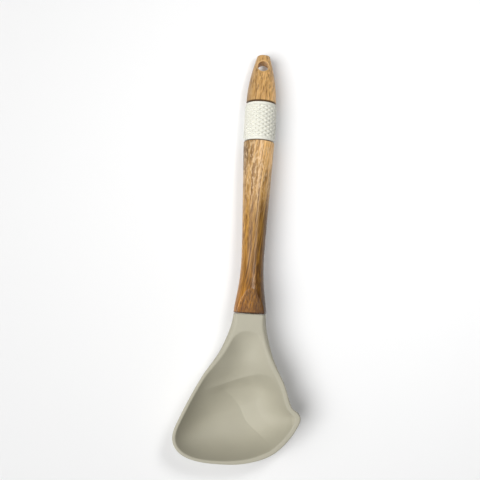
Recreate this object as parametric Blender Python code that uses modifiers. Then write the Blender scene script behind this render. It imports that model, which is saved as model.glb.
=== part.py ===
"""A serving spoon: a turned wood handle with a studded grip sleeve, and a silicone bowl over a stiff core.

Lengths are metres. The seam between handle and head is the local origin: the handle runs along +Y,
the bowl along -Y, and the pouring beak points to +X. The spoon lies bowl upwards on its own underside.
"""

import math

import bmesh
import bpy
import numpy as np
from mathutils import Vector
from mathutils.geometry import interpolate_bezier

# Handle, measured along its axis from the seam
HANDLE_LENGTH = 0.2145
HANDLE_FALL = math.radians(3.4)
SEAM_RADIUS = 0.0132
SEAM_PULL = 0.0090
WAIST_AT = 0.0434
WAIST_RADIUS = 0.0092
WAIST_PULL_TO_SEAM = 0.0234
WAIST_PULL_TO_GRIP = 0.0146
LOWER_SHOULDER_RADIUS = 0.01275
LOWER_SHOULDER_PULL = 0.0215
LOWER_SHOULDER_SWELL = 0.00065
UPPER_SHOULDER_RADIUS = 0.0123
UPPER_SHOULDER_PULL = 0.0165
UPPER_SHOULDER_SWELL = 0.0003
END_RADIUS = 0.0056
END_PULL = 0.0100
END_SWELL = 0.0029
NOSE_ROUND = 0.0016
GROOVE_CHAMFER = 0.0006

# Hanging hole
HOLE_FROM_END = 0.0106
HOLE_RADIUS = 0.0045
HOLE_ROUND = 0.0009

# Flats that thin the handle down to the neck
NECK_HALF_THICKNESS = 0.0070
FLAT_SLOPE = math.radians(10.8)

# Grip sleeve, stretched into a groove of the handle
GRIP_FROM_END = 0.0410
GRIP_LENGTH = 0.0320
GRIP_RADIUS = 0.0124
GRIP_WALL = 0.0017
GRIP_RIM = 0.0019
STUD_HEIGHT = 0.0007
STUDS_AROUND = 14
STUD_ROWS = 8

# Outline of the head, from the right of the seam round the beak and the tip to the left
RIGHT_SIDE = ((0.0144, -0.0130), (0.0213, -0.0361), (0.0310, -0.0553), (0.0363, -0.0700))
BEAK = ((0.0386, -0.0740), (0.0429, -0.0771), (0.0452, -0.0811), (0.0437, -0.0872))
LOWER_RIGHT = ((0.0368, -0.0988), (0.0232, -0.1120))
TIP = ((0.0020, -0.1196), (-0.0210, -0.1210), (-0.0400, -0.1188))
LEFT_CORNER = ((-0.0520, -0.1125), (-0.0566, -0.1018))
LEFT_SIDE = ((-0.0515, -0.0851), (-0.0358, -0.0525), (-0.0232, -0.0325), (-0.0154, -0.0130))

# Rim and neck of the head
RIM_HEIGHT = 0.0285
LEFT_LAND = 0.0021
RIGHT_LAND = 0.0036
NECK_LAND = 0.0050
LAND_FADE_START = 0.0130
LAND_FADE_END = 0.0560
LAND_TILT = 0.22
RIM_ROUND = 0.0014
INNER_EDGE_ROUND = 0.0006
NECK_ROUND = 0.0042
SEAM_ROUND = 0.0034
SEAM_ROUND_REACH = 0.0100
NECK_FADE_START = 0.0080
NECK_FADE_END = 0.0500
NECK_EDGE = 0.0008

# Hollow of the bowl
HOLLOW_AT = 0.0130
HOLLOW_ARCH = 0.0110
BOWL_DEPTH = 0.0240
LEFT_WALL_REACH = 0.0330
RIGHT_WALL_REACH = 0.0255
LEFT_WALL_END = -0.0350
RIGHT_WALL_START = 0.0250
WALL_POWER = 2.28
RAMP_REACH = 0.0442
RAMP_POWER = 1.81
RAMP_FADE_START = 0.0360
RAMP_FADE_END = 0.0635

# The crease where the ramp ends in a lip and steps down into the scoop and the bowl
UPPER_CREASE = (
    (-0.0460, -0.0680), (-0.0215, -0.0595), (-0.0085, -0.0548), (0.0050, -0.0502),
    (0.0145, -0.0486), (0.0236, -0.0520), (0.0290, -0.0590), (0.0330, -0.0700),
)
STEP = 0.0064
STEP_REACH = 0.0240
STEP_POWER = 1.5
LIP = 0.0007
LIP_REACH = 0.0080
SHOULDER_LINE = (
    (-0.0240, -0.0900), (-0.0225, -0.0620), (-0.0190, -0.0500),
    (-0.0150, -0.0380), (-0.0110, -0.0240), (-0.0090, 0.0),
)
SHOULDER_REACH = 0.0300

# The crease between the scoop and the bowl, a shallow valley that both slope down to
LOWER_CREASE = (
    (-0.0270, -0.0470), (-0.0215, -0.0600), (-0.0120, -0.0688), (-0.0040, -0.0780),
    (0.0020, -0.0895), (0.0110, -0.0970), (0.0300, -0.1100),
)
VALLEY = 0.0012
VALLEY_TO_SCOOP = 0.0062
VALLEY_TO_BOWL = 0.0114
VALLEY_POWER = 1.2
VALLEY_FADE = 0.0160

# Underside of the head
KEEL_START = 0.0060
KEEL_END = 0.0780
UNDERSIDE_REACH = 0.0340
UNDERSIDE_POWER = 2.7

# Core inside the head, and the tang that it sends into the handle
CORE_INSET = 0.0160
CORE_INSET_AT_NECK = 0.0042
CORE_SKIN = 0.0014
CORE_SKIN_AT_NECK = 0.0027
CORE_THICKNESS = 0.0018
TANG_RADIUS = 0.0037
TANG_LENGTH = 0.0500
TANG_ROOT = 0.0080
BARB_HEIGHT = 0.0005
BARB_PITCH = 0.0080
BARBS = 5

# Clearances
FIT = 0.0003
SOCKET_SPARE = 0.0010
CUT_PAST = 0.0100
PAST_SEAM = 0.0300

# Fineness of the meshes
TURN_STEPS = 36
CURVE_STEPS = 7
HOLE_SIDES = 28
HEAD_STATIONS = 24
HEAD_FAN = 32
CORE_STATIONS = 14
CORE_FAN = 24
CORE_ROWS = 7
RIM_ROWS = (0.0, 0.0002, 0.0007, 0.0014, 0.0021, 0.0028, 0.0036, 0.0050)
HOLLOW_ROWS = 11
UNDER_EDGE_ROWS = (0.0, 0.0010, 0.0030, 0.0060)
UNDER_ROWS = 6
NOSE_TURNS = (90, 60, 30)
HOLE_ROLLS = (0, 25, 48, 68)
SLOPE_STEP = 0.0003
SHARP = 0.0001
MERGE = 0.000001

# Heights that follow from how the spoon rests on its grip and on its bowl
GRIP_END = HANDLE_LENGTH - GRIP_FROM_END
GRIP_AT = GRIP_END - GRIP_LENGTH
LAST_STUD_AT = GRIP_END - GRIP_RIM
STUD_RADIUS = GRIP_RADIUS + STUD_HEIGHT
SEAM_HEIGHT = LAST_STUD_AT * math.sin(HANDLE_FALL) + STUD_RADIUS * math.cos(HANDLE_FALL)
NECK_TOP = SEAM_HEIGHT + NECK_HALF_THICKNESS
NECK_BOTTOM = SEAM_HEIGHT - NECK_HALF_THICKNESS
BOWL_LENGTH = -min(y for _, y in TIP)
SOCKET_RADIUS = TANG_RADIUS + BARB_HEIGHT + FIT


# Helpers for curves and fields
def smooth_through(points, steps):
    """Points along a Bezier curve through the given ones, its handles set by the neighbours."""
    knots = [Vector(point) for point in points]
    curve = []
    for i in range(len(knots) - 1):
        before, start = knots[max(i - 1, 0)], knots[i]
        end, after = knots[i + 1], knots[min(i + 2, len(knots) - 1)]
        reach = (end - start).length / 3
        leave = start + (end - before).normalized() * reach
        arrive = end - (after - start).normalized() * reach
        curve += interpolate_bezier(start, leave, arrive, end, steps + 1)[:-1]
    curve.append(knots[-1])
    return np.array([tuple(point)[:2] for point in curve])


def bezier(start, leave, arrive, end, steps):
    """Points of one Bezier curve in (radius, distance along the axis)."""
    knots = [Vector((*point, 0)) for point in (start, leave, arrive, end)]
    return [(point.x, point.y) for point in interpolate_bezier(*knots, steps + 1)]


def ease(share):
    """0 to 1 with level ends."""
    share = np.clip(share, 0, 1)
    return share * share * (3 - 2 * share)


def mix(first, second, share):
    return first + (second - first) * share


def smooth_least(first, second, reach):
    """The lesser of two fields, rounded where they cross."""
    near = np.clip(1 - np.abs(first - second) / reach, 0, 1)
    return np.minimum(first, second) - near * near * reach / 4


def offsets(x, y, curve):
    """Signed distance of each point from a curve of points, positive on the left of its direction."""
    points = np.stack([np.ravel(x), np.ravel(y)], axis=1)
    starts, runs = curve[:-1], np.diff(curve, axis=0)
    away = points[:, None, :] - starts[None, :, :]
    along = np.clip((away * runs).sum(2) / (runs * runs).sum(1), 0, 1)
    gap = away - along[:, :, None] * runs
    distance = np.hypot(gap[..., 0], gap[..., 1])
    nearest = distance.argmin(1)
    rows = np.arange(len(points))
    side = runs[nearest, 0] * away[rows, nearest, 1] - runs[nearest, 1] * away[rows, nearest, 0]
    return (distance[rows, nearest] * np.where(side < 0, -1, 1)).reshape(np.shape(x))


# Plan of the head
OUTLINE = smooth_through(
    [(SEAM_RADIUS, PAST_SEAM), (SEAM_RADIUS, 0.0)]
    + list(RIGHT_SIDE + BEAK + LOWER_RIGHT + TIP + LEFT_CORNER + LEFT_SIDE)
    + [(-SEAM_RADIUS, 0.0), (-SEAM_RADIUS, PAST_SEAM)],
    CURVE_STEPS,
)
BEAK_TIP = OUTLINE[:, 0].argmax()
FAN_Y = OUTLINE[BEAK_TIP, 1]
LEFT_END = OUTLINE[:, 0].argmin()
ABOVE_BEAK = OUTLINE[: BEAK_TIP + 1]
LEFT_EDGE = OUTLINE[LEFT_END:]
UPPER_LINE = smooth_through(UPPER_CREASE, CURVE_STEPS)
LOWER_LINE = smooth_through(LOWER_CREASE, CURVE_STEPS)
SHOULDER = smooth_through(SHOULDER_LINE, CURVE_STEPS)


def half_sections(stations, fan, start):
    """(spine point, edge point) of every half section, from the right of the start round to its left."""
    ys = np.linspace(start, FAN_Y, stations)
    right = np.interp(-ys, -ABOVE_BEAK[:, 1], ABOVE_BEAK[:, 0])
    left = np.interp(ys, LEFT_EDGE[:, 1], LEFT_EDGE[:, 0])
    spine = np.stack([(right + left) / 2, ys], axis=1)
    right_side = [(spine[i], np.array((right[i], ys[i]))) for i in range(stations)]
    left_side = [(spine[i], np.array((left[i], ys[i]))) for i in range(stations)]
    lower = OUTLINE[BEAK_TIP:]
    lower = lower[: np.flatnonzero(lower[:, 1] < FAN_Y).max() + 2]
    length = np.concatenate([[0], np.cumsum(np.hypot(*np.diff(lower, axis=0).T))])
    stops = np.linspace(0, np.interp(FAN_Y, lower[-2:, 1], length[-2:]), fan + 2)[1:-1]
    tips = np.stack([np.interp(stops, length, lower[:, axis]) for axis in (0, 1)], axis=1)
    return right_side + [(spine[-1], tip) for tip in tips] + left_side[::-1]


def edge_distance(x, y):
    return -offsets(x, y, OUTLINE)


def soft_distance(x, y):
    """Distance in from the outline, rounded out where the nearest edge changes over.

    Every stretch of the outline pulls on a point with the third power of its nearness, and the sum is read as
    the pull of one straight edge.
    """
    points = np.stack([np.ravel(x), np.ravel(y)], axis=1)
    runs = np.diff(OUTLINE, axis=0)
    lengths = np.hypot(runs[:, 0], runs[:, 1])
    away = points[:, None, :] - OUTLINE[None, :-1, :]
    start = -(away * runs).sum(2) / lengths
    beside = np.maximum((away * away).sum(2) - start * start, SHARP * SHARP)

    def pull(along):
        return along / (np.sqrt(along * along + beside) * beside)

    total = (pull(start + lengths) - pull(start)).sum(1)
    return np.sqrt(2 / total).reshape(np.shape(x))


# Heights of the head over its plan
def neck_share(y):
    """1 on the neck, 0 where the outside is all bowl."""
    return 1 - ease((-y - NECK_FADE_START) / (NECK_FADE_END - NECK_FADE_START))


def rim_height(y):
    return mix(NECK_TOP, RIM_HEIGHT, ease(-y / BOWL_LENGTH))


def land_fade(y):
    """0 on the neck's broad land, 1 where the bowl has its narrow one."""
    return ease((-y - LAND_FADE_START) / (LAND_FADE_END - LAND_FADE_START))


def flank(y):
    """(width, drop) of the rounding that runs from the crest of the rim out to the widest edge."""
    width = mix(NECK_ROUND, RIM_ROUND, land_fade(y))
    width = mix(SEAM_ROUND, width, ease(-y / SEAM_ROUND_REACH))
    return width, mix(RIM_ROUND, NECK_HALF_THICKNESS, neck_share(y))


def crest_height(x, y):
    width, drop = flank(y)
    inward = edge_distance(x, y) - width
    out = np.clip(-inward / width, 0, 1)
    tilt = LAND_TILT * (1 - neck_share(y)) * np.maximum(inward, 0)
    return rim_height(y) - drop * (1 - np.sqrt(1 - out * out)) - tilt


def right_share(x):
    """0 at the bowl's left side, 1 at its right."""
    return ease((x - LEFT_WALL_END) / (RIGHT_WALL_START - LEFT_WALL_END))


def slope_out(side, reach, power):
    """1 along a crease, and 0 from its reach on."""
    return (1 - np.clip(side / reach, 0, 1)) ** power


def hollow_depth(x, y):
    """Depth of the floor under the rim: the ramp's step takes some off, and the valley adds a little."""
    below_ramp = -offsets(x, y, UPPER_LINE)
    step = STEP * slope_out(below_ramp, STEP_REACH, STEP_POWER)
    step = step + LIP * slope_out(np.abs(below_ramp), LIP_REACH, STEP_POWER)
    step = step * (1 - ease(offsets(x, y, SHOULDER) / SHOULDER_REACH))
    to_bowl = -offsets(x, y, LOWER_LINE)
    reach = np.where(to_bowl > 0, VALLEY_TO_BOWL, VALLEY_TO_SCOOP)
    valley = VALLEY * slope_out(np.abs(to_bowl), reach, VALLEY_POWER)
    return BOWL_DEPTH - step + valley * ease(below_ramp / VALLEY_FADE)


def hollow_height(x, y):
    """Surface of the hollow, a ramp at the neck that turns into a round wall at the bowl."""
    ramp = 1 - ease((-y - RAMP_FADE_START) / (RAMP_FADE_END - RAMP_FADE_START))
    land = mix(LEFT_LAND, RIGHT_LAND, right_share(x))
    land = mix(NECK_LAND, land, land_fade(y))
    inside = smooth_least(soft_distance(x, y) - land, -y - HOLLOW_AT, HOLLOW_ARCH)
    reach = mix(LEFT_WALL_REACH, RIGHT_WALL_REACH, right_share(x))
    reach = mix(reach, RAMP_REACH, ramp)
    power = mix(WALL_POWER, RAMP_POWER, ramp)
    share = 1 - (1 - np.clip(inside / reach, 0, 1)) ** power
    share = np.where(inside < 0, power * inside / reach, share)
    return rim_height(y) - hollow_depth(x, y) * share


def top_height(x, y):
    return smooth_least(crest_height(x, y), hollow_height(x, y), INNER_EDGE_ROUND)


def keel_height(y):
    return NECK_BOTTOM * (1 - ease((-y - KEEL_START) / (KEEL_END - KEEL_START)))


def under_height(x, y):
    neck = neck_share(y)
    width, drop = flank(y)
    reach = mix(UNDERSIDE_REACH, width, neck)
    out = np.clip(1 - edge_distance(x, y) / reach, 0, 1)
    lift = mix(out**UNDERSIDE_POWER, 1 - np.sqrt(1 - out * out), neck)
    return mix(keel_height(y), rim_height(y) - drop, lift)


def lean(height, x, y):
    """How much longer an upright measure of a wall is than the wall's own thickness."""
    slope_x = (height(x + SLOPE_STEP, y) - height(x - SLOPE_STEP, y)) / (2 * SLOPE_STEP)
    slope_y = (height(x, y + SLOPE_STEP) - height(x, y - SLOPE_STEP)) / (2 * SLOPE_STEP)
    return np.sqrt(1 + slope_x**2 + slope_y**2)


def square_to_handle(points):
    """Leans the end of the neck so that it stays parallel to the end of the handle, and clear of it."""
    near = np.clip(1 + points[:, 1] / SEAM_ROUND_REACH, 0, 1)
    lean = (points[:, 2] - SEAM_HEIGHT) * math.tan(HANDLE_FALL)
    points[:, 1] += near * (lean - FIT)
    return points


# Blender objects
def collection(name):
    found = bpy.data.collections.new(name)
    bpy.context.scene.collection.children.link(found)
    return found


def material(name, colour, roughness):
    made = bpy.data.materials.new(name)
    made.use_nodes = True
    shader = made.node_tree.nodes["Principled BSDF"]
    shader.inputs["Base Color"].default_value = (*colour, 1)
    shader.inputs["Roughness"].default_value = roughness
    shader.inputs["Metallic"].default_value = 0
    return made


def empty(name, parent=None):
    made = bpy.data.objects.new(name, None)
    made.parent = parent
    parts.objects.link(made)
    return made


def add(name, mesh, parent, finish=None):
    """A part of the spoon or, with no finish, a cutter."""
    made = bpy.data.objects.new(name, mesh)
    made.parent = parent
    if finish:
        mesh.materials.append(finish)
        parts.objects.link(made)
    else:
        made.hide_render = True
        made.display_type = "WIRE"
        cutters.objects.link(made)
    return made


def boolean(target, other, operation):
    modifier = target.modifiers.new(f"{operation.lower()} {other.name}", "BOOLEAN")
    modifier.operation = operation
    modifier.solver = "EXACT"
    modifier.object = other


def mesh_of(bm, name):
    bmesh.ops.recalc_face_normals(bm, faces=bm.faces)
    mesh = bpy.data.meshes.new(name)
    bm.to_mesh(mesh)
    bm.free()
    mesh.shade_smooth()
    return mesh


def outline_mesh(name, profile):
    """A profile of (radius, distance along the axis), for a Screw modifier."""
    mesh = bpy.data.meshes.new(name)
    edges = [(i, i + 1) for i in range(len(profile) - 1)]
    mesh.from_pydata([(radius, 0, along) for radius, along in profile], edges, [])
    return mesh


def turn(turned, steps):
    screw = turned.modifiers.new("turn", "SCREW")
    screw.steps = steps
    screw.render_steps = steps
    screw.use_merge_vertices = True
    screw.merge_threshold = MERGE
    screw.use_smooth_shade = True


def skin(name, columns):
    """A loft through columns of points that share their ends along a spine, closed by one flat end."""
    bm = bmesh.new()
    grid = [[bm.verts.new(point) for point in column] for column in columns]
    for left, right in zip(grid, grid[1:]):
        for k in range(len(left) - 1):
            bm.faces.new((left[k], left[k + 1], right[k + 1]))
            bm.faces.new((left[k], right[k + 1], right[k]))
    bmesh.ops.remove_doubles(bm, verts=bm.verts, dist=MERGE)
    bmesh.ops.holes_fill(bm, edges=[edge for edge in bm.edges if edge.is_boundary])
    return mesh_of(bm, name)


# Handle
def upper_profile():
    """From the shoulder above the grip up to the nose."""
    nose = HANDLE_LENGTH - NOSE_ROUND
    side = bezier(
        (END_RADIUS, nose),
        (END_RADIUS + END_SWELL, nose - END_PULL),
        (UPPER_SHOULDER_RADIUS - UPPER_SHOULDER_SWELL, GRIP_END + FIT + UPPER_SHOULDER_PULL),
        (UPPER_SHOULDER_RADIUS, GRIP_END + FIT + GROOVE_CHAMFER),
        2 * CURVE_STEPS,
    )
    turns = [math.radians(angle) for angle in NOSE_TURNS]
    round_end = [
        (END_RADIUS - NOSE_ROUND * (1 - math.cos(turn)), nose + NOSE_ROUND * math.sin(turn)) for turn in turns
    ]
    return round_end + side


def lower_profile():
    """From the shoulder below the grip down to the seam."""
    shaft = bezier(
        (LOWER_SHOULDER_RADIUS, GRIP_AT - FIT - GROOVE_CHAMFER),
        (LOWER_SHOULDER_RADIUS - LOWER_SHOULDER_SWELL, GRIP_AT - FIT - LOWER_SHOULDER_PULL),
        (WAIST_RADIUS, WAIST_AT + WAIST_PULL_TO_GRIP),
        (WAIST_RADIUS, WAIST_AT),
        CURVE_STEPS,
    )
    flare = bezier(
        (WAIST_RADIUS, WAIST_AT),
        (WAIST_RADIUS, WAIST_AT - WAIST_PULL_TO_SEAM),
        (SEAM_RADIUS, SEAM_PULL),
        (SEAM_RADIUS, 0),
        CURVE_STEPS,
    )
    return shaft[:-1] + flare


def handle_profile():
    floor = GRIP_RADIUS - GRIP_WALL - FIT
    groove = [
        (UPPER_SHOULDER_RADIUS - GROOVE_CHAMFER, GRIP_END + FIT),
        (floor, GRIP_END + FIT),
        (floor, GRIP_AT - FIT),
        (LOWER_SHOULDER_RADIUS - GROOVE_CHAMFER, GRIP_AT - FIT),
    ]
    return [(0, HANDLE_LENGTH)] + upper_profile() + groove + lower_profile() + [(0, 0)]


def flat_cutter(name, side):
    """A block whose inner face is the flat that slopes down to the neck."""
    bm = bmesh.new()
    bmesh.ops.create_cube(bm, size=1)
    size = HANDLE_LENGTH / 2
    bmesh.ops.scale(bm, vec=(size, size, size), verts=bm.verts)
    bmesh.ops.translate(bm, vec=(0, size / 2, 0), verts=bm.verts)
    cutter = add(name, mesh_of(bm, name), handle_axis)
    cutter.location = (0, side * NECK_HALF_THICKNESS, 0)
    cutter.rotation_euler = (-FLAT_SLOPE, 0, 0) if side > 0 else (math.pi + FLAT_SLOPE, 0, 0)
    return cutter


def hole_cutter():
    """A round bore whose mouths roll out over the handle's round sides."""
    centre = HANDLE_LENGTH - HOLE_FROM_END
    radii, places = np.array(upper_profile()[::-1]).T
    rolls = [math.radians(angle) for angle in HOLE_ROLLS]
    mouth = [(HOLE_RADIUS + HOLE_ROUND * (1 - math.cos(a)), HOLE_ROUND * (math.sin(a) - 1)) for a in rolls]
    spread, rise = HOLE_ROUND * math.sin(rolls[-1]), HOLE_ROUND * math.cos(rolls[-1])
    mouth.append((mouth[-1][0] + spread, mouth[-1][1] + rise))
    bm = bmesh.new()
    rings = []
    for side, rows in ((1, mouth[::-1]), (-1, mouth)):
        for radius, above in rows:
            ring = []
            for i in range(HOLE_SIDES):
                angle = math.tau * i / HOLE_SIDES
                x, z = radius * math.cos(angle), centre + radius * math.sin(angle)
                surface = math.sqrt(np.interp(z, places, radii) ** 2 - x * x)
                ring.append(bm.verts.new((x, side * (surface + above), z)))
            rings.append(ring)
    for first, second in zip(rings, rings[1:]):
        for i in range(HOLE_SIDES):
            j = (i + 1) % HOLE_SIDES
            bm.faces.new((first[i], first[j], second[j], second[i]))
    for ring, side in ((rings[0], 1), (rings[-1], -1)):
        peak = bm.verts.new((0, side * (UPPER_SHOULDER_RADIUS + HOLE_ROUND), centre))
        for i in range(HOLE_SIDES):
            bm.faces.new((ring[i], ring[(i + 1) % HOLE_SIDES], peak))
    return add("hole_cutter", mesh_of(bm, "hole_cutter"), handle_axis)


def socket_cutter():
    depth = TANG_LENGTH + SOCKET_SPARE
    profile = [(0, depth), (SOCKET_RADIUS, depth), (SOCKET_RADIUS, -CUT_PAST), (0, -CUT_PAST)]
    cutter = add("socket_cutter", outline_mesh("socket_cutter", profile), handle_axis)
    turn(cutter, HOLE_SIDES)
    return cutter


def make_handle():
    handle = add("wood_handle", outline_mesh("wood_handle", handle_profile()), handle_axis, wood)
    turn(handle, TURN_STEPS)
    boolean(handle, hole_cutter(), "DIFFERENCE")
    boolean(handle, socket_cutter(), "DIFFERENCE")
    boolean(handle, flat_cutter("front_flat_cutter", -1), "DIFFERENCE")
    boolean(handle, flat_cutter("back_flat_cutter", 1), "DIFFERENCE")


# Grip sleeve
def make_grip():
    """A turned tube whose middle rows of points are raised in turn into staggered four-sided studs."""
    bore = GRIP_RADIUS - GRIP_WALL
    low, high = GRIP_AT + GRIP_RIM, GRIP_END - GRIP_RIM
    rows = 2 * STUD_ROWS
    pitch = (high - low) / rows
    around = 2 * STUDS_AROUND
    bm = bmesh.new()
    outer = [GRIP_END] + [high - pitch * k for k in range(rows + 1)] + [GRIP_AT]
    rings = []
    for k, along in enumerate(outer):
        ring = []
        for i in range(around):
            angle = math.tau * i / around
            stud = 1 < k < rows + 1 and (i + k) % 2 == 0
            radius = STUD_RADIUS if stud else GRIP_RADIUS
            ring.append(bm.verts.new((radius * math.cos(angle), radius * math.sin(angle), along)))
        rings.append(ring)
    for along in (GRIP_AT, GRIP_END):
        angles = [math.tau * i / around for i in range(around)]
        rings.append([bm.verts.new((bore * math.cos(a), bore * math.sin(a), along)) for a in angles])
    for first, second in zip(rings, rings[1:] + rings[:1]):
        for i in range(around):
            j = (i + 1) % around
            bm.faces.new((first[i], second[i], second[j], first[j]))
    bmesh.ops.triangulate(bm, faces=bm.faces, quad_method="SHORT_EDGE")
    add("grip_sleeve", mesh_of(bm, "grip_sleeve"), handle_axis, grip_silicone)


# Head and core
def rows_to_spine(edge_rows, spread, length):
    """Distances in from the edge: fixed ones near it, then even ones up to the spine."""
    return np.concatenate([edge_rows, np.linspace(edge_rows[-1], length, spread + 1)[1:]])


def head_columns():
    columns = []
    for spine, edge in half_sections(HEAD_STATIONS, HEAD_FAN, -NECK_EDGE):
        length = np.hypot(*(edge - spine))
        inward = (spine - edge) / length
        top = edge + rows_to_spine(RIM_ROWS, HOLLOW_ROWS, length)[::-1, None] * inward
        under = edge + rows_to_spine(UNDER_EDGE_ROWS, UNDER_ROWS, length)[1:, None] * inward
        top = np.column_stack([top, top_height(*top.T)])
        under = np.column_stack([under, under_height(*under.T)])
        columns.append(np.vstack([top, under]))
    columns = [neck_end(columns[0])] + columns + [neck_end(columns[-1])]
    return [square_to_handle(column) for column in columns]


def neck_end(column):
    """The end face of the neck, smaller all round than the section behind it, which bevels the edge."""
    middle = np.array((0, -NECK_EDGE, SEAM_HEIGHT))
    shrink = np.array((1 - NECK_EDGE / SEAM_RADIUS, 1, 1 - NECK_EDGE / NECK_HALF_THICKNESS))
    return middle + (column - middle) * shrink + (0, NECK_EDGE, 0)


def core_columns(grow, past):
    """The core's sections, swollen by grow on every side and run past the seam to cut its own hollow."""
    columns = []
    for spine, edge in half_sections(CORE_STATIONS, CORE_FAN, 0):
        inset = mix(CORE_INSET, CORE_INSET_AT_NECK, neck_share(edge[1]))
        length = np.hypot(*(edge - spine))
        rows = np.linspace(length, inset, CORE_ROWS)
        if grow:
            rows = np.append(rows, inset - grow)
        plan = edge + rows[:, None] * (spine - edge) / length
        x, y = plan.T
        skin_depth = mix(CORE_SKIN, CORE_SKIN_AT_NECK, neck_share(y)) - grow
        neck_bar = 2 * (NECK_HALF_THICKNESS - CORE_SKIN_AT_NECK)
        thickness = mix(CORE_THICKNESS, neck_bar, neck_share(y) ** 2) + 2 * grow
        low = under_height(x, y) + skin_depth * lean(under_height, x, y)
        ceiling = top_height(x, y) - skin_depth * lean(hollow_height, x, y)
        high = np.minimum(low + thickness * lean(under_height, x, y), ceiling)
        column = np.vstack([np.column_stack([plan, high]), np.column_stack([plan, low])[::-1]])
        columns.append(square_to_handle(column))
    if past:
        columns.insert(0, columns[0] + (0, past, 0))
        columns.append(columns[-1] + (0, past, 0))
    return columns


def tang_profile(grow, past):
    """The ringed tang, from its end in the handle back to its root in the core."""
    profile = [(0, TANG_LENGTH + grow), (TANG_RADIUS + grow, TANG_LENGTH + grow)]
    if not past:
        for i in range(BARBS):
            ring = TANG_LENGTH - BARB_PITCH * (i + 0.5)
            profile += [(TANG_RADIUS, ring), (TANG_RADIUS + BARB_HEIGHT, ring - BARB_PITCH / 3)]
            profile += [(TANG_RADIUS, ring - BARB_PITCH / 3 - BARB_HEIGHT / 2)]
    return profile + [(TANG_RADIUS + grow, -TANG_ROOT - grow), (0, -TANG_ROOT - grow)]


def make_core(name, grow, past, finish=None):
    core = add(name, skin(name, core_columns(grow, past)), spoon, finish)
    tang = add(f"{name}_tang", outline_mesh(f"{name}_tang", tang_profile(grow, past)), handle_axis)
    turn(tang, HOLE_SIDES)
    boolean(core, tang, "UNION")
    return core


def make_head():
    head = add("silicone_head", skin("silicone_head", head_columns()), spoon, head_silicone)
    boolean(head, make_core("core_cutter", FIT, CUT_PAST), "DIFFERENCE")


# Build
for old in list(bpy.data.objects):
    bpy.data.objects.remove(old)

parts = collection("serving_spoon")
cutters = collection("cutters")
wood = material("oiled_wood", (0.45, 0.24, 0.09), 0.45)
grip_silicone = material("cream_silicone", (0.82, 0.80, 0.70), 0.55)
head_silicone = material("grey_beige_silicone", (0.52, 0.50, 0.40), 0.55)
core_nylon = material("white_nylon", (0.80, 0.79, 0.75), 0.40)

spoon = empty("spoon")
handle_axis = empty("handle_axis", spoon)
handle_axis.location = (0, 0, SEAM_HEIGHT)
handle_axis.rotation_euler = (-math.pi / 2 - HANDLE_FALL, 0, 0)

make_handle()
make_grip()
make_head()
make_core("head_core", 0, 0, core_nylon)

# The spoon's origin is the middle of the floor under it
bpy.context.view_layer.update()
graph = bpy.context.evaluated_depsgraph_get()
reach = []
for part in parts.objects:
    if part.type == "MESH":
        shape = part.evaluated_get(graph)
        reach += [shape.matrix_world @ vertex.co for vertex in shape.data.vertices]
low = Vector([min(point[axis] for point in reach) for axis in range(3)])
high = Vector([max(point[axis] for point in reach) for axis in range(3)])
spoon.location = -Vector(((low.x + high.x) / 2, (low.y + high.y) / 2, low.z))
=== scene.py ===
# %% [markdown]
# # A serving spoon
# The spoon has a turned wood handle, a studded silicone sleeve that sits in a groove of the handle,
# and a silicone bowl that is moulded over a stiff core. The spoon's solids are loaded first, and they
# fix every size and place. This lesson then lays a fine surface and a finish over each of them, and
# sets up the light and the camera.

# %% Load the solids
import math
from functools import partial

import bmesh
import bpy
import numpy as np
from mathutils import Matrix, Vector
from mathutils.geometry import interpolate_bezier


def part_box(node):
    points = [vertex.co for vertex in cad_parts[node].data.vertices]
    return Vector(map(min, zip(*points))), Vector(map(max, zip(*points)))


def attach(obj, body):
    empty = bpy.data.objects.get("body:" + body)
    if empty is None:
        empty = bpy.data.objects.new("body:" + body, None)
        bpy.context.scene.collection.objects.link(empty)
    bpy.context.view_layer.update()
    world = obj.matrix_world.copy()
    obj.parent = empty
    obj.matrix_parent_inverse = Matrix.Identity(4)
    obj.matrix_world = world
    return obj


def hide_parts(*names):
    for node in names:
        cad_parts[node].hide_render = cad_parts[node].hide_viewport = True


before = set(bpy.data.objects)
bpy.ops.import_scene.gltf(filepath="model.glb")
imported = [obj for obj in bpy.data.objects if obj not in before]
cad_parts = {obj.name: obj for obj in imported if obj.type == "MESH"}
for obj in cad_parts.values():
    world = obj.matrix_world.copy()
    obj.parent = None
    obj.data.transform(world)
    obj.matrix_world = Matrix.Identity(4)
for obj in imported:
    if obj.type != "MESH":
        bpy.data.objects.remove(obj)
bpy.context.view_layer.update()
print("solids:", ", ".join(sorted(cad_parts)))

# %% [markdown]
# ## Curves and fields
# A spoon's bowl is a free form, so no primitive makes it. It can be sculpted by hand, or written down
# as a height over its plan. The second way is chosen, because a height that follows from distances to
# a few drawn lines stays smooth at any fineness. These helpers draw smooth lines through points and
# measure distances to them.

# %% Smooth lines
def smooth_through(points, steps):
    """Points along a Bezier curve through the given ones, its handles set by the neighbours."""
    knots = [Vector(point) for point in points]
    curve = []
    for i in range(len(knots) - 1):
        before, start = knots[max(i - 1, 0)], knots[i]
        end, after = knots[i + 1], knots[min(i + 2, len(knots) - 1)]
        reach = (end - start).length / 3
        leave = start + (end - before).normalized() * reach
        arrive = end - (after - start).normalized() * reach
        curve += interpolate_bezier(start, leave, arrive, end, steps + 1)[:-1]
    curve.append(knots[-1])
    return np.array([tuple(point)[:2] for point in curve])


# %% Easing and rounding
def ease(share):
    """0 to 1 with level ends."""
    share = np.clip(share, 0, 1)
    return share * share * (3 - 2 * share)


def mix(first, second, share):
    return first + (second - first) * share


def smooth_least(first, second, reach):
    """The lesser of two fields, rounded where they cross."""
    near = np.clip(1 - np.abs(first - second) / reach, 0, 1)
    return np.minimum(first, second) - near * near * reach / 4


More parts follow.
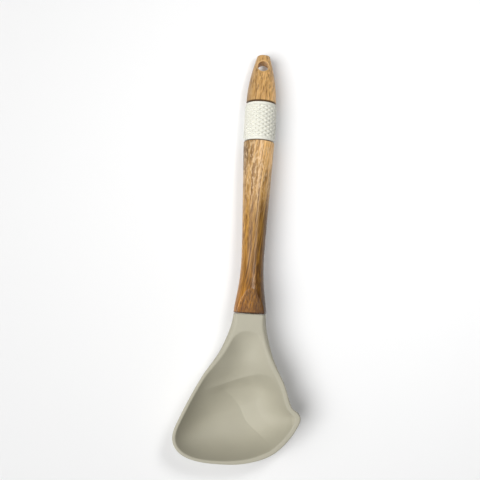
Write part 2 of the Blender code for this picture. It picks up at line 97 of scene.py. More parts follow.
# %% Distance to a line
def offsets(x, y, curve):
    """Signed distance of each point from a curve of points, positive on the left of its direction."""
    points = np.stack([np.ravel(x), np.ravel(y)], axis=1)
    starts, runs = curve[:-1], np.diff(curve, axis=0)
    away = points[:, None, :] - starts[None, :, :]
    along = np.clip((away * runs).sum(2) / (runs * runs).sum(1), 0, 1)
    gap = away - along[:, :, None] * runs
    distance = np.hypot(gap[..., 0], gap[..., 1])
    nearest = distance.argmin(1)
    rows = np.arange(len(points))
    side = runs[nearest, 0] * away[rows, nearest, 1] - runs[nearest, 1] * away[rows, nearest, 0]
    return (distance[rows, nearest] * np.where(side < 0, -1, 1)).reshape(np.shape(x))


# %% [markdown]
# ## The plan of the head
# Seen from above, the head leaves the handle as a slim neck, swells to the left into a wide bowl, and
# has a small beak on its right for pouring. The outline is one smooth line through a few points,
# measured from the seam between handle and head: the handle runs along +Y, the bowl along -Y, and the
# beak points to +X.

# %% Outline of the head
SEAM_RADIUS = 0.0132
PAST_SEAM = 0.0300
RIGHT_SIDE = ((0.0144, -0.0130), (0.0213, -0.0361), (0.0310, -0.0553), (0.0363, -0.0700))
BEAK = ((0.0386, -0.0740), (0.0429, -0.0771), (0.0452, -0.0811), (0.0437, -0.0872))
LOWER_RIGHT = ((0.0368, -0.0988), (0.0232, -0.1120))
TIP = ((0.0020, -0.1196), (-0.0210, -0.1210), (-0.0400, -0.1188))
LEFT_CORNER = ((-0.0520, -0.1125), (-0.0566, -0.1018))
LEFT_SIDE = ((-0.0515, -0.0851), (-0.0358, -0.0525), (-0.0232, -0.0325), (-0.0154, -0.0130))
OUTLINE_STEPS = 12

OUTLINE = smooth_through(
    [(SEAM_RADIUS, PAST_SEAM), (SEAM_RADIUS, 0.0)]
    + list(RIGHT_SIDE + BEAK + LOWER_RIGHT + TIP + LEFT_CORNER + LEFT_SIDE)
    + [(-SEAM_RADIUS, 0.0), (-SEAM_RADIUS, PAST_SEAM)],
    OUTLINE_STEPS,
)
BEAK_TIP = OUTLINE[:, 0].argmax()
FAN_Y = OUTLINE[BEAK_TIP, 1]
TIP_END = OUTLINE[:, 1].argmin()
LEFT_END = OUTLINE[:, 0].argmin()
ABOVE_BEAK = OUTLINE[: BEAK_TIP + 1]
LEFT_EDGE = OUTLINE[LEFT_END:]
BOWL_LENGTH = -min(y for _, y in TIP)
print("outline points:", len(OUTLINE))

# %% [markdown]
# ## Where the handle lies
# The spoon lies on its bowl and on the studs of its sleeve, so the handle falls a little towards its
# end. The seam is the point that everything hangs on. Its place across and along is read from the
# solids, and its height follows from the fall of the handle and the radius that the studs reach.

# %% Handle frame
HANDLE_LENGTH = 0.2145
HANDLE_FALL = math.radians(3.4)
GRIP_FROM_END = 0.0410
GRIP_LENGTH = 0.0320
GRIP_RADIUS = 0.0124
GRIP_RIM = 0.0019
STUD_HEIGHT = 0.0007

GRIP_END = HANDLE_LENGTH - GRIP_FROM_END
GRIP_AT = GRIP_END - GRIP_LENGTH
STUD_RADIUS = GRIP_RADIUS + STUD_HEIGHT
SEAM_HEIGHT = (GRIP_END - GRIP_RIM) * math.sin(HANDLE_FALL) + STUD_RADIUS * math.cos(HANDLE_FALL)

head_low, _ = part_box("silicone_head")
seam = Vector((head_low.x - OUTLINE[LEFT_END, 0], head_low.y - OUTLINE[TIP_END, 1], SEAM_HEIGHT))
head_place = Matrix.Translation((seam.x, seam.y, 0))
handle_turn = -math.pi / 2 - HANDLE_FALL
handle_place = Matrix.Translation(seam) @ Matrix.Rotation(handle_turn, 4, "X")
print("seam at", [round(value, 5) for value in seam])

# %% [markdown]
# ## The heights of the head
# The hollow starts as a ramp behind the neck and turns into a round wall. Two lines cross it. On the
# upper one the ramp ends in a low lip and steps down into a scoop that leads to the beak. On the
# lower one the scoop and the deep part of the bowl meet in a shallow valley. Both lines follow the
# same rule: full height or depth along the line, and a slope that eases out beside it. A sculpted
# surface would also do, but the rule keeps both lines crisp.

# %% Distance from the edge
SHARP = 0.0001


def edge_distance(x, y):
    """Distance in from the outline."""
    return -offsets(x, y, OUTLINE)


def soft_distance(x, y):
    """Distance in from the outline, rounded out where the nearest edge changes over.

    Every stretch of the outline pulls on a point with the third power of its nearness, and the sum is
    read as the pull of one straight edge.
    """
    points = np.stack([np.ravel(x), np.ravel(y)], axis=1)
    runs = np.diff(OUTLINE, axis=0)
    lengths = np.hypot(runs[:, 0], runs[:, 1])
    away = points[:, None, :] - OUTLINE[None, :-1, :]
    start = -(away * runs).sum(2) / lengths
    beside = np.maximum((away * away).sum(2) - start * start, SHARP * SHARP)

    def pull(along):
        return along / (np.sqrt(along * along + beside) * beside)

    total = (pull(start + lengths) - pull(start)).sum(1)
    return np.sqrt(2 / total).reshape(np.shape(x))


# %% Rim and neck
NECK_HALF_THICKNESS = 0.0070
NECK_TOP = SEAM_HEIGHT + NECK_HALF_THICKNESS
NECK_BOTTOM = SEAM_HEIGHT - NECK_HALF_THICKNESS
RIM_HEIGHT = 0.0285
LEFT_LAND = 0.0024
RIGHT_LAND = 0.0036
RIM_ROUND = 0.0011
NECK_LAND = 0.0050
LAND_FADE_START = 0.0130
LAND_FADE_END = 0.0560
NECK_ROUND = 0.0042
SEAM_ROUND = 0.0034
SEAM_ROUND_REACH = 0.0100
NECK_FADE_START = 0.0080
NECK_FADE_END = 0.0500


def neck_share(y):
    """1 on the neck, 0 where the outside is all bowl."""
    return 1 - ease((-y - NECK_FADE_START) / (NECK_FADE_END - NECK_FADE_START))


def rim_height(y):
    return mix(NECK_TOP, RIM_HEIGHT, ease(-y / BOWL_LENGTH))


def land_fade(y):
    """0 on the neck's broad land, 1 where the bowl has its narrow one."""
    return ease((-y - LAND_FADE_START) / (LAND_FADE_END - LAND_FADE_START))


def flank(y):
    """(width, drop) of the rounding that runs from the crest of the rim out to the widest edge."""
    width = mix(NECK_ROUND, RIM_ROUND, land_fade(y))
    width = mix(SEAM_ROUND, width, ease(-y / SEAM_ROUND_REACH))
    return width, mix(RIM_ROUND, NECK_HALF_THICKNESS, neck_share(y))


def crest_height(x, y):
    width, drop = flank(y)
    out = np.clip(1 - edge_distance(x, y) / width, 0, 1)
    return rim_height(y) - drop * (1 - np.sqrt(1 - out * out))


print("neck from", round(NECK_BOTTOM, 5), "to", round(NECK_TOP, 5))

# %% Lines across the hollow
UPPER_CREASE = (
    (-0.0460, -0.0680), (-0.0215, -0.0595), (-0.0085, -0.0548), (0.0050, -0.0502),
    (0.0145, -0.0486), (0.0236, -0.0520), (0.0290, -0.0590), (0.0330, -0.0700),
)
LOWER_CREASE = (
    (-0.0270, -0.0470), (-0.0215, -0.0600), (-0.0120, -0.0688), (-0.0040, -0.0780),
    (0.0020, -0.0895), (0.0110, -0.0970), (0.0300, -0.1100),
)
SHOULDER_LINE = (
    (-0.0240, -0.0900), (-0.0225, -0.0620), (-0.0190, -0.0500),
    (-0.0150, -0.0380), (-0.0110, -0.0240), (-0.0090, 0.0),
)

UPPER_LINE = smooth_through(UPPER_CREASE, OUTLINE_STEPS)
LOWER_LINE = smooth_through(LOWER_CREASE, OUTLINE_STEPS)
SHOULDER = smooth_through(SHOULDER_LINE, OUTLINE_STEPS)
print("points on the lines:", len(UPPER_LINE), len(LOWER_LINE), len(SHOULDER))

# %% Depth of the hollow
BOWL_DEPTH = 0.0240
STEP = 0.0064
STEP_REACH = 0.0240
STEP_POWER = 1.5
LIP = 0.0007
LIP_REACH = 0.0080
SHOULDER_REACH = 0.0300
VALLEY = 0.0013
VALLEY_TO_SCOOP = 0.0110
VALLEY_TO_BOWL = 0.0190
VALLEY_POWER = 2.0
VALLEY_FADE = 0.0060


def slope_out(side, reach, power):
    """1 along a crease, and 0 from its reach on."""
    return (1 - np.clip(side / reach, 0, 1)) ** power


def hollow_depth(x, y):
    """Depth of the floor under the rim: the ramp's step takes some off, and the valley adds a little."""
    below_ramp = -offsets(x, y, UPPER_LINE)
    step = STEP * slope_out(below_ramp, STEP_REACH, STEP_POWER)
    step = step + LIP * slope_out(np.abs(below_ramp), LIP_REACH, STEP_POWER)
    step = step * (1 - ease(offsets(x, y, SHOULDER) / SHOULDER_REACH))
    to_bowl = -offsets(x, y, LOWER_LINE)
    reach = np.where(to_bowl > 0, VALLEY_TO_BOWL, VALLEY_TO_SCOOP)
    valley = VALLEY * slope_out(np.abs(to_bowl), reach, VALLEY_POWER)
    return BOWL_DEPTH - step + valley * ease(below_ramp / VALLEY_FADE)


# %% Surface of the hollow
INNER_EDGE_ROUND = 0.0004
HOLLOW_AT = 0.0130
HOLLOW_ARCH = 0.0110
LEFT_WALL_REACH = 0.0330
RIGHT_WALL_REACH = 0.0255
LEFT_WALL_END = -0.0350
RIGHT_WALL_START = 0.0250
WALL_POWER = 2.28
RAMP_REACH = 0.0442
RAMP_POWER = 1.81
RAMP_FADE_START = 0.0360
RAMP_FADE_END = 0.0635


def right_share(x):
    """0 at the bowl's left side, 1 at its right."""
    return ease((x - LEFT_WALL_END) / (RIGHT_WALL_START - LEFT_WALL_END))


def hollow_height(x, y):
    """Surface of the hollow, a ramp at the neck that turns into a round wall at the bowl."""
    ramp_share = 1 - ease((-y - RAMP_FADE_START) / (RAMP_FADE_END - RAMP_FADE_START))
    land = mix(LEFT_LAND, RIGHT_LAND, right_share(x))
    land = mix(NECK_LAND, land, land_fade(y))
    inside = smooth_least(soft_distance(x, y) - land, -y - HOLLOW_AT, HOLLOW_ARCH)
    reach = mix(LEFT_WALL_REACH, RIGHT_WALL_REACH, right_share(x))
    reach = mix(reach, RAMP_REACH, ramp_share)
    power = mix(WALL_POWER, RAMP_POWER, ramp_share)
    share = 1 - (1 - np.clip(inside / reach, 0, 1)) ** power
    share = np.where(inside < 0, power * inside / reach, share)
    return rim_height(y) - hollow_depth(x, y) * share


def top_height(x, y):
    return smooth_least(crest_height(x, y), hollow_height(x, y), INNER_EDGE_ROUND)


middle = OUTLINE[[LEFT_END, BEAK_TIP]].mean(0)
print("floor between the left side and the beak:", round(float(top_height(*middle)), 5))

# %% Underside
KEEL_START = 0.0060
KEEL_END = 0.0780
UNDERSIDE_REACH = 0.0340
UNDERSIDE_POWER = 2.7


def keel_height(y):
    return NECK_BOTTOM * (1 - ease((-y - KEEL_START) / (KEEL_END - KEEL_START)))


def under_height(x, y):
    neck = neck_share(y)
    width, drop = flank(y)
    reach = mix(UNDERSIDE_REACH, width, neck)
    out = np.clip(1 - edge_distance(x, y) / reach, 0, 1)
    lift = mix(out**UNDERSIDE_POWER, 1 - np.sqrt(1 - out * out), neck)
    return mix(keel_height(y), rim_height(y) - drop, lift)


print("keel at the seam:", round(float(keel_height(0.0)), 5))

# %% End of the neck
FIT = 0.0003
NECK_EDGE = 0.0008


def square_to_handle(points):
    """Leans the end of the neck so that it stays parallel to the end of the handle, and clear of it."""
    near = np.clip(1 + points[:, 1] / SEAM_ROUND_REACH, 0, 1)
    lean = (points[:, 2] - SEAM_HEIGHT) * math.tan(HANDLE_FALL)
    points[:, 1] += near * (lean - FIT)
    return points


def neck_end(column):
    """The end face of the neck, smaller all round than the section behind it, which bevels the edge."""
    middle = np.array((0, -NECK_EDGE, SEAM_HEIGHT))
    shrink = np.array((1 - NECK_EDGE / SEAM_RADIUS, 1, 1 - NECK_EDGE / NECK_HALF_THICKNESS))
    return middle + (column - middle) * shrink + (0, NECK_EDGE, 0)


# %% [markdown]
# ## The head as a mesh
# The mesh is a loft. Its sections run from a spine in the middle out to the edge, straight across
# while the head is a neck, and then in a fan round the lower bowl, so that the rows of points follow
# the rim all the way. Rows lie close together at the rim, where the surface turns fastest. A grid cut
# off at the outline would be simpler, but it would leave a ragged rim.

# %% Sections of the head
HEAD_STATIONS = 150
HEAD_FAN = 230


def half_sections(stations, fan, start):
    """(spine point, edge point) of every half section, from the right of the start round to its left."""
    ys = np.linspace(start, FAN_Y, stations)
    right = np.interp(-ys, -ABOVE_BEAK[:, 1], ABOVE_BEAK[:, 0])
    left = np.interp(ys, LEFT_EDGE[:, 1], LEFT_EDGE[:, 0])
    spine = np.stack([(right + left) / 2, ys], axis=1)
    right_side = [(spine[i], np.array((right[i], ys[i]))) for i in range(stations)]
    left_side = [(spine[i], np.array((left[i], ys[i]))) for i in range(stations)]
    lower = OUTLINE[BEAK_TIP:]
    lower = lower[: np.flatnonzero(lower[:, 1] < FAN_Y).max() + 2]
    length = np.concatenate([[0], np.cumsum(np.hypot(*np.diff(lower, axis=0).T))])
    stops = np.linspace(0, np.interp(FAN_Y, lower[-2:, 1], length[-2:]), fan + 2)[1:-1]
    tips = np.stack([np.interp(stops, length, lower[:, axis]) for axis in (0, 1)], axis=1)
    return right_side + [(spine[-1], tip) for tip in tips] + left_side[::-1]


# %% Columns of points
RIM_ROWS = 14
RIM_ROWS_END = 0.0056
HOLLOW_ROWS = 84
UNDER_EDGE_ROWS = 10
UNDER_EDGE_END = 0.0060
UNDER_ROWS = 36
ROW_CROWDING = 1.6


def rows_to_spine(edge_rows, edge_end, spread, length):
    """Distances in from the edge: close together near it, then even up to the spine."""
    near = edge_end * np.linspace(0, 1, edge_rows) ** ROW_CROWDING
    return np.concatenate([near, np.linspace(edge_end, length, spread + 1)[1:]])


def head_columns():
    columns = []
    for spine, edge in half_sections(HEAD_STATIONS, HEAD_FAN, -NECK_EDGE):
        length = np.hypot(*(edge - spine))
        inward = (spine - edge) / length
        top_rows = rows_to_spine(RIM_ROWS, RIM_ROWS_END, HOLLOW_ROWS, length)[::-1]
        under_rows = rows_to_spine(UNDER_EDGE_ROWS, UNDER_EDGE_END, UNDER_ROWS, length)[1:]
        top = edge + top_rows[:, None] * inward
        under = edge + under_rows[:, None] * inward
        top = np.column_stack([top, top_height(*top.T)])
        under = np.column_stack([under, under_height(*under.T)])
        columns.append(np.vstack([top, under]))
    columns = [neck_end(columns[0])] + columns + [neck_end(columns[-1])]
    return [square_to_handle(column) for column in columns]


# %% Loft of the head
MERGE = 0.000001


def show(name, mesh):
    """An object at the origin that shows a mesh whose place is in its points."""
    made = bpy.data.objects.new(name, mesh)
    bpy.context.scene.collection.objects.link(made)
    return made


def loft(name, columns):
    """A closed skin through columns of points that share their ends along a spine."""
    rows = len(columns[0])
    points = np.vstack(columns)
    faces = []
    for c in range(len(columns) - 1):
        left, right = c * rows, (c + 1) * rows
        faces += [(left + r, left + r + 1, right + r + 1, right + r) for r in range(rows - 1)]
    mesh = bpy.data.meshes.new(name)
    mesh.from_pydata(points.tolist(), [], faces)
    bm = bmesh.new()
    bm.from_mesh(mesh)
    bmesh.ops.remove_doubles(bm, verts=bm.verts, dist=MERGE)
    bmesh.ops.holes_fill(bm, edges=[edge for edge in bm.edges if edge.is_boundary])
    bmesh.ops.recalc_face_normals(bm, faces=bm.faces)
    bm.to_mesh(mesh)
    bm.free()
    mesh.shade_smooth()
    return mesh


head_mesh = loft("spoon_head", head_columns())
head_mesh.transform(head_place)
head = show("spoon_head", head_mesh)
print("head faces:", len(head_mesh.polygons))

# %% [markdown]
# ## A small kit for node trees
# Geometry Nodes and materials are both trees of nodes. Writing each node out takes four or five
# lines, so these helpers make a node, set its values and wire it up in one. A value is either a
# number or another node's output.

# %% Nodes and wires
def wire(tree, socket, value):
    if isinstance(value, bpy.types.NodeSocket):
        tree.links.new(value, socket)
    else:
        socket.default_value = value


def node(tree, kind, inputs=None, **settings):
    made = tree.nodes.new(kind)
    for name, value in settings.items():
        setattr(made, name, value)
    for key, value in (inputs or {}).items():
        wire(tree, made.inputs[key], value)
    return made


def calc(tree, operation, *values):
    """The output of one Math node."""
    made = node(tree, "ShaderNodeMath", operation=operation)
    for socket, value in zip(made.inputs, values):
        wire(tree, socket, value)
    return made.outputs[0]


# %% Geometry Nodes trees
def geometry_tree(name, sizes):
    """A Geometry Nodes tree with named inputs, given as (name, kind of socket)."""
    tree = bpy.data.node_groups.new(name, "GeometryNodeTree")
    tree.interface.new_socket("Geometry", in_out="OUTPUT", socket_type="NodeSocketGeometry")
    tree.interface.new_socket("Geometry", in_out="INPUT", socket_type="NodeSocketGeometry")
    for size, kind in sizes:
        tree.interface.new_socket(size, in_out="INPUT", socket_type=kind)
    tree.nodes.new("NodeGroupInput")
    tree.nodes.new("NodeGroupOutput")
    return tree


def close_tree(tree, geometry, material):
    """Ends a tree: merges seams, smooths faces, makes plain mesh of it and gives it its finish."""
    merged = node(tree, "GeometryNodeMergeByDistance", {"Geometry": geometry, "Distance": MERGE})
    smooth = node(tree, "GeometryNodeSetShadeSmooth", {"Geometry": merged.outputs[0]})
    plain = node(tree, "GeometryNodeRealizeInstances", {"Geometry": smooth.outputs[0]})
    finish = node(tree, "GeometryNodeSetMaterial", {"Geometry": plain.outputs[0], "Material": material})
    tree.links.new(finish.outputs[0], tree.nodes["Group Output"].inputs[0])


def grown(name, base, tree, sizes, place):
    """The plain mesh that a tree makes from a base mesh, with its place in its points."""
    grower = show(name + "_grower", base)
    modifier = grower.modifiers.new("grow", "NODES")
    modifier.node_group = tree
    for item in tree.interface.items_tree:
        if item.in_out == "INPUT" and item.name in sizes:
            modifier[item.identifier] = sizes[item.name]
    graph = bpy.context.evaluated_depsgraph_get()
    mesh = bpy.data.meshes.new_from_object(grower.evaluated_get(graph))
    bpy.data.objects.remove(grower)
    mesh.materials.clear()
    mesh.materials.append(sizes["Material"])
    mesh.name = name
    mesh.transform(place)
    return mesh


def outward(mesh):
    """Turns all faces of a closed mesh outwards."""
    bm = bmesh.new()
    bm.from_mesh(mesh)
    bmesh.ops.recalc_face_normals(bm, faces=bm.faces)
    bm.to_mesh(mesh)
    bm.free()


# %% Grids wrapped round an axis
def wrapped_grid(tree, columns, rows):
    """A grid of points with, for each point, its share round the turn and its row number."""
    wrapped = calc(tree, "ADD", columns, 1.0)
    grid = node(
        tree, "GeometryNodeMeshGrid",
        {"Size X": 1.0, "Size Y": 1.0, "Vertices X": wrapped, "Vertices Y": rows},
    )
    place = node(tree, "GeometryNodeInputPosition").outputs[0]
    x, y, _ = node(tree, "ShaderNodeSeparateXYZ", {0: place}).outputs
    around = calc(tree, "ADD", x, 0.5)
    row = calc(tree, "MULTIPLY", calc(tree, "ADD", y, 0.5), calc(tree, "SUBTRACT", rows, 1.0))
    return grid.outputs[0], around, calc(tree, "ROUND", row)


def turned_to(tree, grid, around, radius, along):
    """Sets a wrapped grid's points to a radius and a distance along the axis."""
    angle = calc(tree, "MULTIPLY", around, math.tau)
    x = calc(tree, "MULTIPLY", radius, calc(tree, "COSINE", angle))
    y = calc(tree, "MULTIPLY", radius, calc(tree, "SINE", angle))
    spot = node(tree, "ShaderNodeCombineXYZ", {"X": x, "Y": y, "Z": along}).outputs[0]
    return node(tree, "GeometryNodeSetPosition", {"Geometry": grid, "Position": spot}).outputs[0]


# %% [markdown]
# ## The wood
# The handle is one piece of a warm, open-pored hardwood with an oiled finish. A picture of wood could
# be wrapped round it, but it would stretch at the flare and show a seam. Solid noise is used instead,
# drawn out along a grain that leans and wanders a little. It gives the figure, the fibres and the dark
# pores, and it runs through the piece as real grain does. Painted shade makes the right side darker
# below and the left side above. Pale specks of painted highlight show where the hand holds it, a painted
# highlight pales the rolled edge of the hole, and painted shade darkens the wood at the seam and at the
# ends of the sleeve.

# %% Helpers for finishes
def ramp(tree, value, stops):
    """A colour that follows a value through stops of (value, colour)."""
    made = node(tree, "ShaderNodeValToRGB", {"Fac": value})
    elements = made.color_ramp.elements
    elements[0].position, elements[0].color = stops[0]
    elements[1].position, elements[1].color = stops[-1]
    for position, colour in stops[1:-1]:
        elements.new(position).color = colour
    return made.outputs[0]


def blend(tree, kind, share, first, second):
    """Two colours laid over each other, the second with a share."""
    made = node(tree, "ShaderNodeMix", data_type="RGBA", blend_type=kind)
    for key, value in ((0, share), (6, first), (7, second)):
        wire(tree, made.inputs[key], value)
    return made.outputs[2]


def span(tree, value, start, end, first=0.0, last=1.0):
    """A value's share of the way from start to end, as a number from first to last."""
    inputs = {0: value, 1: start, 2: end, 3: first, 4: last}
    return node(tree, "ShaderNodeMapRange", inputs).outputs[0]


# %% Grain of the wood
GRAIN_WANDER = 0.005
WANDER_WAVES = (45, 45, 16)
GRAIN_LEAN = -0.10
GRAIN_START = (0.01, 0.01, 0.10)


def drawn_noise(tree, vector, waves, detail, rough):
    """Noise with its own number of waves per metre along each axis."""
    drawn = node(tree, "ShaderNodeMapping", {"Vector": vector, "Scale": waves}).outputs[0]
    inputs = {"Vector": drawn, "Scale": 1.0, "Detail": detail, "Roughness": rough}
    return node(tree, "ShaderNodeTexNoise", inputs)


def handle_space(tree):
    """Places measured from the seam, with the handle's axis as Z."""
    spot = node(tree, "ShaderNodeTexCoord").outputs["Object"]
    return node(
        tree, "ShaderNodeMapping",
        {"Vector": spot, "Location": seam, "Rotation": (handle_turn, 0, 0)},
        vector_type="TEXTURE",
    ).outputs[0]


def grain_space(tree, local):
    """The same places, with a Z that wanders and leans a little from the handle's axis."""
    wander = drawn_noise(tree, local, WANDER_WAVES, 1.0, 0.5).outputs["Color"]
    wavy = node(
        tree, "ShaderNodeVectorMath",
        {0: wander, 1: (GRAIN_WANDER, GRAIN_WANDER, 0), 2: local},
        operation="MULTIPLY_ADD",
    ).outputs[0]
    return node(
        tree, "ShaderNodeMapping",
        {"Vector": wavy, "Location": GRAIN_START, "Rotation": (0, GRAIN_LEAN, 0)},
    ).outputs[0]


def grain(tree, leaning, waves, detail, rough=0.5):
    """Noise drawn out along the grain, with its waves per metre across it and along it."""
    across, along = waves
    return drawn_noise(tree, leaning, (across, across, along), detail, rough).outputs[0]


# %% Colour of the wood
BLACK, WHITE = (0, 0, 0, 1), (1, 1, 1, 1)
WOOD_STOPS = (
    (0.0, (0.235, 0.094, 0.011, 1)),
    (0.35, (0.345, 0.176, 0.035, 1)),
    (0.55, (0.575, 0.34, 0.128, 1)),
    (0.85, (0.60, 0.352, 0.130, 1)),
    (1.0, (0.55, 0.32, 0.118, 1)),
)
# Painted shade and light: each row darkens the colour towards one side of the handle over a stretch of
# its height, the right side low down and the left side higher up.
PAINTED_SHADE_TILTS = ((0.33, 0.59, -46.0, 46.0), (0.70, 0.85, 0.0, -14.0), (0.05, 0.20, -16.0, 0.0))
FIGURE_WAVES = (150, 10)
FIGURE_STOPS = ((0.3, (0.82, 0.78, 0.72, 1)), (0.7, (1.10, 1.10, 1.09, 1)))
FIBRE_FADE = (0.35, 0.80, 1.0, 0.5)
FIBRE_STOPS = (
    (0.36, (0.42, 0.36, 0.27, 1)),
    (0.50, (0.94, 0.94, 0.93, 1)),
    (0.63, (1.36, 1.44, 1.60, 1)),
)
PORE_SHARE = 0.55
PORE_BROWN = (0.07, 0.028, 0.008, 1)
# Painted highlight: pale tan specks that stand in for the broken gloss on the swell, most where the hand
# holds it.
HIGHLIGHT_FLECK_WAVES = (900, 260)
HIGHLIGHT_FLECKS_BEGIN = (0.36, 0.52, 0.0, 0.5)
HIGHLIGHT_FLECKS_THIN_OUT = (0.62, 0.70, 1.0, 0.3)
HIGHLIGHT_FLECK_STOPS = ((0.52, BLACK), (0.62, WHITE))
HIGHLIGHT_FLECK_TAN = (0.80, 0.58, 0.34, 1)


def wood_colour(tree, height, across, leaning, fibres, pores):
    """The colour of the wood by the height up the handle and the grain, with painted shade from side to
    side and painted highlight specks.
    """
    # Painted shade: the colour is darker on the right side low on the handle and on the left side higher
    # up.
    shade_tilt = 0.0
    for change in PAINTED_SHADE_TILTS:
        shade_tilt = calc(tree, "ADD", shade_tilt, span(tree, height, *change))
    painted_side_shade = calc(tree, "MULTIPLY_ADD", shade_tilt, across, 1.0)
    colour = blend(tree, "MULTIPLY", 1.0, ramp(tree, height, WOOD_STOPS), painted_side_shade)
    figure = ramp(tree, grain(tree, leaning, FIGURE_WAVES, 2.0), FIGURE_STOPS)
    colour = blend(tree, "MULTIPLY", 1.0, colour, figure)
    share = span(tree, height, *FIBRE_FADE)
    colour = blend(tree, "MULTIPLY", share, colour, ramp(tree, fibres, FIBRE_STOPS))
    colour = blend(tree, "MIX", calc(tree, "MULTIPLY", pores, PORE_SHARE), colour, PORE_BROWN)
    # Painted highlight: pale specks on the swell of the handle.
    highlight_flecks = ramp(tree, grain(tree, leaning, HIGHLIGHT_FLECK_WAVES, 1.0), HIGHLIGHT_FLECK_STOPS)
    begin, thin_out = (span(tree, height, *change) for change in (HIGHLIGHT_FLECKS_BEGIN, HIGHLIGHT_FLECKS_THIN_OUT))
    share = calc(tree, "MULTIPLY", highlight_flecks, calc(tree, "MULTIPLY", begin, thin_out))
    return blend(tree, "MIX", share, colour, HIGHLIGHT_FLECK_TAN)


# %% Painted highlight at the hole and painted shade at the ends of the wood
HOLE_FROM_END = 0.0106
HOLE_RADIUS = 0.0045
HOLE_ROUND = 0.0009
# Painted highlight round the rolled edge of the hanging hole.
HOLE_HIGHLIGHT_FADE = 0.0003
HOLE_HIGHLIGHT_SHARE = 0.6
HOLE_HIGHLIGHT_TAN = (0.66, 0.42, 0.19, 1)
# Painted shade in the gaps at the seam and at the two ends of the sleeve.
JOINT_SHADE_REACH = 0.0007
JOINT_SHADE_REACH_END = 0.0013
JOINT_SHADE_SHARE = 0.8
JOINT_SHADE_BROWN = (0.045, 0.018, 0.006, 1)


def painted_hole_highlight(tree, local, colour):
    """Pales a colour at the rolled edge of the hanging hole, a painted highlight where the rounded edge
    catches the light.
    """
    flat_spot = node(tree, "ShaderNodeMapping", {"Vector": local, "Scale": (1, 0, 1)}).outputs[0]
    hole = (0, 0, HANDLE_LENGTH - HOLE_FROM_END)
    measure = node(tree, "ShaderNodeVectorMath", {0: flat_spot, 1: hole}, operation="DISTANCE")
    mouth = HOLE_RADIUS + HOLE_ROUND
    share = span(tree, measure.outputs["Value"], mouth, mouth + HOLE_HIGHLIGHT_FADE, HOLE_HIGHLIGHT_SHARE, 0.0)
    return blend(tree, "MIX", share, colour, HOLE_HIGHLIGHT_TAN)


def painted_joint_shade(tree, along, colour):
    """Darkens a colour next to the seam and the two ends of the sleeve, as painted shade where the gaps
    between the pieces fall dark.
    """
    seam_end, low_end, high_end = (
        calc(tree, "ABSOLUTE", calc(tree, "SUBTRACT", along, end)) for end in (0.0, GRIP_AT, GRIP_END)
    )
    to_end = calc(tree, "MINIMUM", seam_end, calc(tree, "MINIMUM", low_end, high_end))
    share = span(tree, to_end, JOINT_SHADE_REACH, JOINT_SHADE_REACH_END, JOINT_SHADE_SHARE, 0.0)
    return blend(tree, "MIX", share, colour, JOINT_SHADE_BROWN)


# %% Finish of the handle
FIBRE_WAVES = (720, 34)
PORE_WAVES = (1100, 55)
PORE_STOPS = ((0.57, BLACK), (0.66, WHITE))
POLISH = (0.30, 0.55, 0.40, 0.44)
FIBRE_GLOSS = -0.20
PORE_GLOSS = 0.20
PORE_RELIEF = 0.25
GRAIN_RELIEF = 0.0003
WOOD_IOR = 1.41


def wood_finish():
    made = bpy.data.materials.new("oiled_wood")
    made.use_nodes = True
    tree = made.node_tree
    shader = tree.nodes["Principled BSDF"]
    local = handle_space(tree)
    leaning = grain_space(tree, local)
    across, _, along = node(tree, "ShaderNodeSeparateXYZ", {0: local}).outputs
    height = span(tree, along, 0.0, HANDLE_LENGTH)
    fibres = grain(tree, leaning, FIBRE_WAVES, 3.0, 0.6)
    pores = ramp(tree, grain(tree, leaning, PORE_WAVES, 1.0), PORE_STOPS)

    colour = wood_colour(tree, height, across, leaning, fibres, pores)
    # Painted highlight at the hole, and painted shade at the seam and the ends of the sleeve.
    colour = painted_joint_shade(tree, along, painted_hole_highlight(tree, local, colour))
    wire(tree, shader.inputs["Base Color"], colour)

    gloss = calc(tree, "MULTIPLY_ADD", fibres, FIBRE_GLOSS, span(tree, height, *POLISH))
    wire(tree, shader.inputs["Roughness"], calc(tree, "MULTIPLY_ADD", pores, PORE_GLOSS, gloss))
    shader.inputs["IOR"].default_value = WOOD_IOR
    relief = calc(tree, "SUBTRACT", fibres, calc(tree, "MULTIPLY", pores, PORE_RELIEF))
    bump = node(tree, "ShaderNodeBump", {"Height": relief, "Strength": 0.5, "Distance": GRAIN_RELIEF})
    wire(tree, shader.inputs["Normal"], bump.outputs[0])
    return made


oiled_wood = wood_finish()
print("finish:", oiled_wood.name)

# %% [markdown]
# ## The handle
# The handle is turned on a lathe: a slim waist, a swell under the hand, a groove for the sleeve and a
# tapered end. Two flats then thin its flared end down to the neck. A Screw modifier would turn the
# profile, but the flats would have to be cut out of it and would leave hard edges. A Geometry Nodes
# tree turns it here instead. It wraps a grid round the axis, takes each row's radius from the
# profile, and lets the two flats limit that radius with a rounded edge.

# %% Tapered end of the handle
UPPER_SHOULDER_RADIUS = 0.0123
UPPER_SHOULDER_PULL = 0.0165
UPPER_SHOULDER_SWELL = 0.0003
END_RADIUS = 0.0056
END_PULL = 0.0100
END_SWELL = 0.0029
NOSE_ROUND = 0.0016
GROOVE_CHAMFER = 0.0006
UPPER_STEPS = 46
ROUND_STEPS = 8


def bezier(start, leave, arrive, end, steps):
    """Points of one Bezier curve in (radius, distance along the axis)."""
    knots = [Vector((*point, 0)) for point in (start, leave, arrive, end)]
    return [(point.x, point.y) for point in interpolate_bezier(*knots, steps + 1)]


